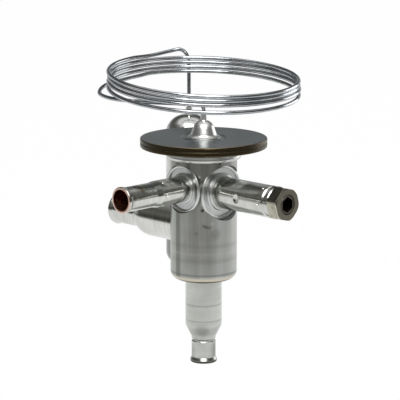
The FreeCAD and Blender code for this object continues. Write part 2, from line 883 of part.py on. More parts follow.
def make_spring_and_seat():
    nose = size("wedge_nose")
    tail = size("wedge_tail")
    slope = size("wedge_slope")
    base = size("guide_top") + "running_gap"
    crest = size("guide_top") + "wedge_height"
    slot = size("wedge_slot")
    wedge = new_body("adjusting_wedge")
    side = draw(wedge, "wedge_side", [
        (-tail, base),
        (nose, base),
        (nose, crest - nose * slope),
        (-tail, crest + tail * slope),
    ])
    pad(wedge, "wedge_block", side, size("wedge_half_width") * 2, both=True)
    fork = draw(wedge, "wedge_fork", [
        (-tail - 1, -slot),
        ("wedge_slot_end", -slot),
        ("wedge_slot_end", slot),
        (-tail - 1, slot),
    ], "XY_Plane")
    pocket(wedge, "wedge_slot_cut", fork, both=True)
    screw = draw_circle(wedge, "wedge_screw", size("spindle_screw") + "running_gap", "YZ_Plane",
                        (0, "spindle_level"))
    pocket(wedge, "wedge_screw_hole", screw, both=True)
    keep(wedge, "adjusting_wedge")

    wide = size("seat_radius")
    top = size("seat_top")
    seat = new_body("spring_seat")
    turn_solid(seat, "spring_seat_form", [
        (size("rod_radius") + "running_gap", size("guide_top")),
        (wide, size("guide_top")),
        (wide, top),
        ("seat_boss_radius", top),
        (size("seat_boss_radius") - 0.2, top + "seat_boss_height"),
        (size("rod_radius") + "running_gap", top + "seat_boss_height"),
    ])
    reach = wide + 1
    lift = crest + "running_gap"
    under = draw(seat, "seat_slope", [
        (-reach, size("guide_top") - 1),
        (reach, size("guide_top") - 1),
        (reach, lift - reach * slope),
        (-reach, lift + reach * slope),
    ])
    pocket(seat, "seat_slope_cut", under, both=True)
    keep(seat, "spring_seat")

    wire = size("spring_wire")
    low = top + "running_gap" + wire
    high = pad_bottom - "running_gap" - wire
    spring = new_body("superheat_spring")
    section = draw_circle(spring, "spring_section", wire, "XZ_Plane", ("spring_radius", low))
    helix = spring.newObject("PartDesign::AdditiveHelix", "spring_coil")
    helix.Profile = section
    helix.ReferenceAxis = (section, ["V_Axis"])
    helix.Mode = "height-turns-angle"
    helix.setExpression("Height", (high - low).formula)
    helix.setExpression("Turns", size("spring_turns").formula)
    keep(spring, "superheat_spring")


def swept(edges, radius):
    # a round tube along a path of joined lines and arcs
    path = Part.Wire(edges)
    first = edges[0]
    start = first.valueAt(first.FirstParameter)
    way = first.tangentAt(first.FirstParameter)
    section = Part.Wire(Part.Edge(Part.Circle(start, way, radius)))
    tube = path.makePipeShell([section], True, False)
    expected = math.pi * radius**2 * path.Length
    print(f"swept length {path.Length:.2f}, volume {tube.Volume:.3f} of {expected:.3f}")
    return tube


# The rod's guide plate with its seal, and the orifice with its strainer
def make_guide():
    top = size("guide_top")
    under = top - "guide_thickness"
    hub = size("guide_hub_radius")
    low = size("guide_hub_bottom")
    bore = size("rod_radius") + "running_gap"
    seal_outer = bore + size("seal_section") * 2
    body = new_body("guide_plate")
    turn_solid(body, "guide_plate_form", [
        (seal_outer, low),
        (hub, low),
        (hub, under),
        (body_inner, under),
        (body_inner, top),
        (bore, top),
        (bore, low + "seal_room"),
        (seal_outer, low + "seal_room"),
    ])
    far = size("body_radius") * 2
    flat_x = draw(body, "spindle_side_flat", [
        (spindle_inner_face, -far),
        (far, -far),
        (far, far),
        (spindle_inner_face, far),
    ], "XY_Plane")
    pocket(body, "spindle_side_cut", flat_x, both=True)
    flat_y = draw(body, "equalizer_side_flat", [
        (-far, -far),
        (far, -far),
        (far, -equalizer_inner_face),
        (-far, -equalizer_inner_face),
    ], "XY_Plane")
    pocket(body, "equalizer_side_cut", flat_y, both=True)
    keep(body, "guide_plate")
    ring("rod_seal", bore + "seal_section", size("seal_section") - 0.01,
         low + "seal_room" - "seal_section" - 0.03)
    turned("seal_washer", [
        (bore, low),
        (seal_outer, low),
        (seal_outer, low + "washer_height"),
        (bore, low + "washer_height"),
    ])


def make_orifice():
    level = size("orifice_level")
    top = size("orifice_top")
    stem = size("orifice_stem_bottom")
    bore = size("orifice_radius")
    flange = body_inner - floor_rounding - "flange_clearance"
    flange_top = floor_top + "orifice_flange"
    chamber = size("orifice_chamber")
    turned("orifice_seat", [
        (chamber, stem),
        (inlet_inner, stem),
        (inlet_inner, floor_top),
        (flange, floor_top),
        (flange, flange_top - 0.3),
        (flange - 0.3, flange_top),
        (chamber + 0.2, flange_top),
        (chamber - 0.2, top),
        (bore + 0.4, top),
        (bore, top - 0.4),
        (bore, level),
        (chamber, level),
    ])
    rim = stem - "strainer_rim"
    wall = size("strainer_wall")
    end = size("strainer_end_radius")
    tail = stem - "strainer_length"
    turned("inlet_strainer", [
        (0, tail),
        (end - 0.2, tail),
        (end, tail + 0.2),
        (inlet_inner - 0.6, rim),
        (inlet_inner, rim),
        (inlet_inner, stem),
        (inlet_inner - 0.6 - wall, stem),
        (inlet_inner - 0.6 - wall, rim),
        (end - wall, tail + wall),
        (0, tail + wall),
    ])


# The capillary and the bulb. Their route is worked out in a frame whose first axis
# runs across the valve between the setting arm and the back, turned 45 degrees.
def coil_point(turn):
    # a point of the wound part, this many turns up from its lowest end: turns lie
    # closer at the front and right, and the lowest one sags away from them in front
    heading = math.radians(120 - 360 * turn)
    oval = size("coil_ovality").number * math.cos(2.3 * 2 * math.pi * turn)
    radius = size("coil_radius").number + oval
    across = radius * math.cos(heading)
    behind = radius * math.sin(heading)
    spread = size("coil_loosening").number * (math.sin(heading) - math.cos(heading))
    height = size("coil_bottom").number + (size("coil_pitch").number + spread) * turn
    height += behind * math.sin(math.radians(size("coil_tilt").number))
    height -= across * math.sin(math.radians(size("coil_lean").number))
    from_front = turn - 0.578
    if abs(from_front) < 0.5:
        height -= size("coil_sag").number * (1 + math.cos(2 * math.pi * from_front)) / 2
    return Vector(across, behind, height)


def route(across, behind, above):
    # a bend of the capillary, in coil radii from the middle of the lowest turn
    reach = size("coil_radius").number
    return Vector(across, behind, above) * reach + Vector(0, 0, size("coil_bottom").number)


def rounded(points):
    # straight runs joined by tangent arcs as large as their shorter run allows
    edges = []
    start = points[0]
    for before, corner, after in zip(points, points[1:], points[2:]):
        come = (corner - before).normalize()
        leave = (after - corner).normalize()
        turn = come.getAngle(leave)
        run = 0.45 * min((corner - before).Length, (after - corner).Length)
        inside = (leave - come).normalize()
        radius = run / math.tan(turn / 2)
        first = corner - come * run
        last = corner + leave * run
        middle = corner + inside * (radius / math.cos(turn / 2) - radius)
        edges.append(Part.LineSegment(start, first).toShape())
        edges.append(Part.Arc(first, middle, last).toShape())
        start = last
    edges.append(Part.LineSegment(start, points[-1]).toShape())
    return edges


def make_capillary_and_bulb():
    bell_top = (cover_top + "bell_height" + "bell_neck_height").number
    bulb_x = -size("bulb_across").number
    bulb_y = size("bulb_behind").number
    bulb_end = (size("bulb_top") + "bulb_neck_height" - "bulb_hole_depth").number
    first = coil_point(0)
    last = coil_point(size("coil_turns").number)
    away = (coil_point(0.001) - first).normalize()
    off = (last - coil_point(size("coil_turns").number - 0.001)).normalize()
    lead = size("capillary_radius").number * 5
    head_run = [
        Vector(0, 0, bell_top - size("capillary_insertion").number),
        Vector(0, 0, bell_top + lead),
        route(-0.2660, -0.1525, -0.1117),
        route(-0.5496, -0.3369, -0.0691),
        route(-0.7660, -0.4468, -0.0372),
        route(-0.9220, -0.3617, -0.0337),
        route(-1.0355, -0.2021, -0.0337),
        route(-1.1028, -0.0284, -0.0266),
        route(-1.0957, 0.1277, -0.0018),
        route(-1.0496, 0.3050, 0.0160),
        route(-0.9433, 0.5035, 0.0230),
        route(-0.7766, 0.7021, 0.0408),
        first - away * lead,
        first,
    ]
    over_bulb = route(0, 0, 0.2110).z
    bulb_run = [
        last,
        last + off * lead * 0.87,
        route(-0.5816, 0.8723, 0.2535),
        route(-0.3759, 1.0426, 0.2819),
        route(-0.2447, 1.0851, 0.3067),
        Vector(bulb_x, bulb_y, over_bulb),
        Vector(bulb_x, bulb_y, bulb_end),
    ]
    steps = round(size("coil_turns").number * 8)
    wound = []
    for step in range(steps):
        turns = [size("coil_turns").number * (step + share) / steps for share in (0, 0.5, 1)]
        wound.append(Part.Arc(*[coil_point(turn) for turn in turns]).toShape())
    tube = doc.addObject("Part::Feature", "capillary_tube")
    tube.Shape = swept(rounded(head_run) + wound + rounded(bulb_run), size("capillary_radius").number)
    tube.Placement = Placement(Vector(0, 0, 0), SCREEN_TURN)
    keep(tube, "capillary_tube")

    low = size("bulb_bottom")
    top = size("bulb_top")
    wide = size("bulb_radius")
    neck = size("bulb_neck_radius")
    bend = size("bulb_bottom_round")
    dome = wide - neck - 0.15
    hole = size("capillary_radius")
    bulb = turned("sensing_bulb", [
        (0, low),
        (wide - bend, low),
        (wide, low + bend, bend),
        (wide, top - dome),
        (neck + 0.15, top, dome),
        (neck, top + 0.15),
        (neck, top + "bulb_neck_height"),
        (hole, top + "bulb_neck_height"),
        (hole, top + "bulb_neck_height" - "bulb_hole_depth"),
        (0, top + "bulb_neck_height" - "bulb_hole_depth"),
    ])
    diagonal = math.sqrt(0.5)
    across = size("bulb_across")
    behind = size("bulb_behind")
    bulb.setExpression("Placement.Base.x", (-(across + behind) * diagonal).formula)
    bulb.setExpression("Placement.Base.y", ((behind - across) * diagonal).formula)


make_valve_body()
make_inlet()
make_equalizer()
make_outlet()
make_spindle_tube()
make_gland()
make_spindle()
make_element()
make_bell()
make_core()
make_spring_and_seat()
make_guide()
make_orifice()
make_capillary_and_bulb()
doc.recompute()

for item in doc.Objects:
    for fault in ("Invalid", "Error"):
        if fault in item.State:
            raise RuntimeError(f"{item.Name} is {fault}")
os.makedirs("parts", exist_ok=True)
for piece in made:
    if piece.Shape.isNull() or not piece.Shape.isValid() or not piece.Shape.Solids:
        raise RuntimeError(f"{piece.Label} has no sound solid")
for piece in made:
    piece.Shape.exportStep(f"parts/{piece.Label}.step")
    print(f"{piece.Label}: {len(piece.Shape.Solids)} solid, {piece.Shape.Volume:.2f} mm3")
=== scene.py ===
import math

import bmesh
import bpy
from mathutils import Matrix, Vector


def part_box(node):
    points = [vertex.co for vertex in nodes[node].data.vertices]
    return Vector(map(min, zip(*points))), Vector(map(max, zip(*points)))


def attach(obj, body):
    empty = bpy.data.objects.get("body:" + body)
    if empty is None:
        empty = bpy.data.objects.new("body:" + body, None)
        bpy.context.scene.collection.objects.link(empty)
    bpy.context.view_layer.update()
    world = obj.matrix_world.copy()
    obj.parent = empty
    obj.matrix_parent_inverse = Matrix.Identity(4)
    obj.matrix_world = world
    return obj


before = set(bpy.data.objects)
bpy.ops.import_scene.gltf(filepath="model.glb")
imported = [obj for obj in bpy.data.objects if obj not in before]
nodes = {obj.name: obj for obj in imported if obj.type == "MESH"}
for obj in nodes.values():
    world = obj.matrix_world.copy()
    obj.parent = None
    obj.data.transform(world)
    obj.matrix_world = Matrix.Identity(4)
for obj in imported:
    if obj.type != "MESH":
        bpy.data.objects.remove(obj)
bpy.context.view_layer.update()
mm = 0.001


def linearColour(hexText):
    # sRGB hex to the linear values that Blender's sockets take
    parts = [int(hexText[i:i + 2], 16) / 255 for i in (1, 3, 5)]
    linear = [c / 12.92 if c <= 0.04045 else ((c + 0.055) / 1.055) ** 2.4 for c in parts]
    return (*linear, 1.0)


def addNode(tree, kind, settings=None, links=None):
    # a key is a property, or an input by its name or number
    node = tree.nodes.new(kind)
    for key, value in (settings or {}).items():
        if isinstance(key, int) or key in node.inputs:
            node.inputs[key].default_value = value
        else:
            setattr(node, key, value)
    for key, socket in (links or {}).items():
        tree.links.new(socket, node.inputs[key])
    return node


def newMaterial(name):
    material = bpy.data.materials.new(name)
    material.use_nodes = True
    tree = material.node_tree
    tree.nodes.clear()
    output = addNode(tree, "ShaderNodeOutputMaterial")
    where = addNode(tree, "ShaderNodeTexCoord").outputs["Object"]
    return material, tree, output, where


cameraView = {
    "azimuth": 45.3,
    "elevation": 11.5,
    "distance": 0.650,
    "across": -1.1 * mm,
    "height": 49.87 * mm,
    "fieldWidth": 120.0 * mm,
    "film": 36.0,           # width of the film in millimetres
    "clip": (0.01, 20.0),   # nearest and furthest that is drawn, in metres
}


def makeCamera(view):
    turn = math.radians(view["azimuth"])
    tip = math.radians(view["elevation"])
    back = Vector((math.sin(turn) * math.cos(tip), -math.cos(turn) * math.cos(tip), math.sin(tip)))
    right = Vector((math.cos(turn), math.sin(turn), 0.0))
    target = right * view["across"] + Vector((0, 0, view["height"]))
    data = bpy.data.cameras.new("studioCamera")
    data.sensor_width = view["film"]
    data.lens = view["film"] * view["distance"] / view["fieldWidth"]
    data.clip_start, data.clip_end = view["clip"]
    camera = bpy.data.objects.new("studioCamera", data)
    bpy.context.scene.collection.objects.link(camera)
    facing = Matrix((right, back.cross(right), back)).transposed().to_4x4()
    camera.matrix_world = Matrix.Translation(target + back * view["distance"]) @ facing
    bpy.context.scene.camera = camera


room = {
    # tone of the walls by height, from the horizon up to the soft box overhead
    "walls": [(0.0, "#3c3b37"), (0.12, "#4a4945"), (0.30, "#6e6d68"), (0.54, "#5c5b57"),
              (0.70, "#8a8986"), (0.82, "#f0f0f0"), (1.0, "#ffffff")],
    # tone of the backdrop, light low down and fading upwards
    "backdrop": [(0.0, "#e4e6e6"), (0.10, "#c0c2c3"), (0.24, "#7e8182"), (0.45, "#525252"),
                 (0.68, "#6e6e6c"), (0.82, "#f0f0f0"), (1.0, "#ffffff")],
    "towardsCamera": (0.711, -0.703, 0.0),      # a level way that stays, also when a view moves the camera
    "backdropEdge": (-0.15, -0.80),     # along that way, from where walls turn to where all is backdrop
}


def makeWorld(values):
    # a dim room round a white table, with a wide soft box overhead and a paler backdrop
    world = bpy.data.worlds.new("studioRoom")
    bpy.context.scene.world = world
    world.use_nodes = True
    tree = world.node_tree
    tree.nodes.clear()
    output = addNode(tree, "ShaderNodeOutputWorld")
    way = addNode(tree, "ShaderNodeTexCoord").outputs["Generated"]
    height = addNode(tree, "ShaderNodeSeparateXYZ", links={"Vector": way}).outputs["Z"]
    tones = []
    for key in ("walls", "backdrop"):
        ramp = addNode(tree, "ShaderNodeValToRGB", links={"Fac": height})
        points = ramp.color_ramp.elements
        for place, hexText in values[key][1:-1]:
            points.new(place)
        for point, (place, hexText) in zip(points, values[key]):
            point.position = place
            point.color = linearColour(hexText)
        tones.append(ramp.outputs["Color"])
    ahead = addNode(tree, "ShaderNodeVectorMath",
                    {"operation": "DOT_PRODUCT", 1: values["towardsCamera"]}, {0: way})
    edge = values["backdropEdge"]
    behind = addNode(tree, "ShaderNodeMapRange", {
        "interpolation_type": "SMOOTHSTEP", "From Min": edge[0], "From Max": edge[1]},
        {"Value": ahead.outputs["Value"]})
    tone = addNode(tree, "ShaderNodeMix", {"data_type": "RGBA"},
                   {0: behind.outputs[0], 6: tones[0], 7: tones[1]})
    path = addNode(tree, "ShaderNodeLightPath").outputs
    seen = addNode(tree, "ShaderNodeMath", {"operation": "MAXIMUM"},
                   {0: path["Is Camera Ray"], 1: path["Is Transmission Ray"]})
    lit = addNode(tree, "ShaderNodeBackground", links={"Color": tone.outputs[2]})
    white = addNode(tree, "ShaderNodeBackground", {"Color": (1, 1, 1, 1), "Strength": 1.0})
    mix = addNode(tree, "ShaderNodeMixShader", links={
        0: seen.outputs[0], 1: lit.outputs[0], 2: white.outputs[0]})
    tree.links.new(mix.outputs[0], output.inputs["Surface"])


table = {
    "level": -62 * mm,
    "size": 6.0,
    "paint": "#f6f6f4",
    # in a reflection the table is full white near this place and as dim as the room further off, in metres
    "lightCentre": (-0.20, 0.20, 0.0),
    "fade": (0.50, 1.25),
    "farTone": "#55544f",
    "ownLight": 0.98,   # share that shows the plain white, the rest takes light and shadow
}


def makeTable(values):
    bpy.ops.object.select_all(action="DESELECT")
    bpy.ops.mesh.primitive_plane_add(size=values["size"], location=(0, 0, values["level"]))
    plane = bpy.context.object
    plane.name = "whiteTable"
    material, tree, output, where = newMaterial("mattWhiteLaminate")
    reach = addNode(tree, "ShaderNodeVectorMath",
                    {"operation": "DISTANCE", 1: values["lightCentre"]}, {0: where})
    near, far = values["fade"]
    fade = addNode(tree, "ShaderNodeMapRange", {
        "interpolation_type": "SMOOTHSTEP", "From Min": near, "From Max": far},
        {"Value": reach.outputs["Value"]})
    tone = addNode(tree, "ShaderNodeMix", {
        "data_type": "RGBA", 6: (1, 1, 1, 1), 7: linearColour(values["farTone"])}, {0: fade.outputs[0]})
    paint = addNode(tree, "ShaderNodeBsdfDiffuse", {"Color": linearColour(values["paint"])})
    plain = addNode(tree, "ShaderNodeEmission", {"Color": (1, 1, 1, 1), "Strength": 1.0})
    dim = addNode(tree, "ShaderNodeEmission", {"Strength": 1.0}, {"Color": tone.outputs[2]})
    path = addNode(tree, "ShaderNodeLightPath").outputs
    sight = addNode(tree, "ShaderNodeMath", {"operation": "MAXIMUM"},
                    {0: path["Is Camera Ray"], 1: path["Is Transmission Ray"]})
    seen = addNode(tree, "ShaderNodeMath", {"operation": "MULTIPLY", 1: values["ownLight"]},
                   {0: sight.outputs[0]})
    inMetal = addNode(tree, "ShaderNodeMath", {"operation": "MULTIPLY", 1: values["ownLight"]},
                      {0: path["Is Glossy Ray"]})
    direct = addNode(tree, "ShaderNodeMixShader", links={
        0: seen.outputs[0], 1: paint.outputs[0], 2: plain.outputs[0]})
    both = addNode(tree, "ShaderNodeMixShader", links={
        0: inMetal.outputs[0], 1: direct.outputs[0], 2: dim.outputs[0]})
    tree.links.new(both.outputs[0], output.inputs["Surface"])
    plane.data.materials.append(material)


# places and sizes in metres, power in watts
lamps = {
    "overheadBox": {"place": (0.42, -0.42, 0.85), "size": 0.75, "power": 10.0},
    "backRightBox": {"place": (0.15, 0.95, 0.16), "size": 0.60, "power": 2.5},
}
lampsAimAt = Vector((0, 0, 50 * mm))


def makeLamps(values):
    for name, lamp in values.items():
        data = bpy.data.lights.new(name, "AREA")
        data.size = lamp["size"]
        data.energy = lamp["power"]
        light = bpy.data.objects.new(name, data)
        bpy.context.scene.collection.objects.link(light)
        place = Vector(lamp["place"])
        turn = (place - lampsAimAt).to_track_quat("Z", "Y").to_matrix().to_4x4()
        light.matrix_world = Matrix.Translation(place) @ turn


makeCamera(cameraView)
makeWorld(room)
makeTable(table)
makeLamps(lamps)
bpy.context.scene.view_settings.view_transform = "Standard"
print("camera, room, table and lamps are in place")


def layTint(tree, colour, measure, edges, patch):
    # the tint fades in from the first edge to the second, up to its share
    place = addNode(tree, "ShaderNodeMapRange", {
        "interpolation_type": "SMOOTHSTEP", "From Min": edges[0] * mm, "From Max": edges[1] * mm,
        "To Max": patch["share"]}, {"Value": measure})
    mix = addNode(tree, "ShaderNodeMix", {"data_type": "RGBA", 7: linearColour(patch["tint"])},
                  {0: place.outputs[0], 6: colour})
    return mix.outputs[2]


def layZones(tree, where, colour, zones):
    # a zone lies along an axis, or by the radius from the upright axis
    split = addNode(tree, "ShaderNodeSeparateXYZ", links={"Vector": where}).outputs
    flat = addNode(tree, "ShaderNodeCombineXYZ", links={"X": split["X"], "Y": split["Y"]})
    radius = addNode(tree, "ShaderNodeVectorMath", {"operation": "LENGTH"}, {0: flat.outputs[0]})
    axes = {"X": split["X"], "Y": split["Y"], "Z": split["Z"], "radius": radius.outputs["Value"]}
    for zone in zones:
        measure = axes[zone["axis"]]
        if "at" in zone:    # a line there, faded by the distance from it
            past = addNode(tree, "ShaderNodeMath",
                           {"operation": "SUBTRACT", 1: zone["at"] * mm}, {0: measure})
            away = addNode(tree, "ShaderNodeMath", {"operation": "ABSOLUTE"}, {0: past.outputs[0]})
            measure = away.outputs[0]
        colour = layTint(tree, colour, measure, (zone["from"], zone["to"]), zone)
    return colour


def laySpots(tree, where, colour, spots, core):
    # a spot is at its full share out to its core and fades to nothing at its reach
    for spot in spots:
        away = addNode(tree, "ShaderNodeVectorMath",
                       {"operation": "DISTANCE", 1: Vector(spot["middle"]) * mm}, {0: where})
        reach = spot["reach"]
        colour = layTint(tree, colour, away.outputs["Value"], (reach, reach * core), spot)
    return colour


# what a metal has unless its own values say otherwise; sizes here and below are in millimetres
anyMetal = {
    "stretch": (1, 1, 1),       # a share under 1 draws the marks out along that axis
    "marksDetail": 5.0, "marksGrain": 0.6,
    "cloudsDetail": 3.0, "cloudsGrain": 0.5,
    "streak": 0.5,              # share of the marks in the tone, the rest is clouds
    "toneSpan": (0.36, 0.66),   # pattern values at which the tone is all dark and all light
    "roughSpan": (0.3, 0.7),    # pattern values at which the finish is smoothest and roughest
    "markDepth": 0.01,
    "pitsApart": 5.26, "pitShare": 0.35, "pitTone": "#8d8d8a",
    "pitEdge": (0.02, 0.14),    # shares of their spacing over which a pit fades
    "zones": [],
    "spots": [],
    "spotCore": 0.3,            # share of a spot's reach that has its full tint
}


def metalFinish(name, own):
    # fine marks set roughness and relief, slow clouds shift the tone, and tints lie in zones and spots
    values = {**anyMetal, **own}
    material, tree, output, where = newMaterial(name)
    stretch = addNode(tree, "ShaderNodeMapping", {"Scale": values["stretch"]}, {"Vector": where})
    marks = addNode(tree, "ShaderNodeTexNoise", {
        "Scale": 1 / (values["marksApart"] * mm), "Detail": values["marksDetail"],
        "Roughness": values["marksGrain"]}, {"Vector": stretch.outputs[0]}).outputs["Fac"]
    clouds = addNode(tree, "ShaderNodeTexNoise", {
        "Scale": 1 / (values["cloudsApart"] * mm), "Detail": values["cloudsDetail"],
        "Roughness": values["cloudsGrain"]}, {"Vector": where}).outputs["Fac"]
    both = addNode(tree, "ShaderNodeMix", {"data_type": "FLOAT", 0: values["streak"]}, {2: clouds, 3: marks})
    allDark, allLight = values["toneSpan"]
    tone = addNode(tree, "ShaderNodeMapRange", {"From Min": allDark, "From Max": allLight},
                   {"Value": both.outputs[0]})
    colour = addNode(tree, "ShaderNodeMix", {
        "data_type": "RGBA", 6: linearColour(values["dark"]), 7: linearColour(values["light"])},
        {0: tone.outputs[0]}).outputs[2]
    colour = layZones(tree, where, colour, values["zones"])
    colour = laySpots(tree, where, colour, values["spots"], values["spotCore"])
    pits = addNode(tree, "ShaderNodeTexVoronoi", {"Scale": 1 / (values["pitsApart"] * mm)}, {"Vector": where})
    core, rim = values["pitEdge"]
    pit = addNode(tree, "ShaderNodeMapRange", {
        "interpolation_type": "SMOOTHSTEP", "From Min": core, "From Max": rim,
        "To Min": values["pitShare"], "To Max": 0.0}, {"Value": pits.outputs["Distance"]})
    colour = addNode(tree, "ShaderNodeMix", {
        "data_type": "RGBA", "blend_type": "MULTIPLY", 7: linearColour(values["pitTone"])},
        {0: pit.outputs[0], 6: colour}).outputs[2]
    smoothest, roughest = values["roughness"]
    low, high = values["roughSpan"]
    rough = addNode(tree, "ShaderNodeMapRange", {
        "From Min": low, "From Max": high, "To Min": smoothest, "To Max": roughest}, {"Value": marks})
    height = addNode(tree, "ShaderNodeMath", {"operation": "SUBTRACT"}, {0: marks, 1: pit.outputs[0]})
    bump = addNode(tree, "ShaderNodeBump", {"Strength": values["bump"], "Distance": values["markDepth"] * mm},
                   {"Height": height.outputs[0]})
    shader = addNode(tree, "ShaderNodeBsdfPrincipled", {"Metallic": 1.0}, {
        "Base Color": colour, "Roughness": rough.outputs[0], "Normal": bump.outputs[0]})
    tree.links.new(shader.outputs[0], output.inputs["Surface"])
    return material


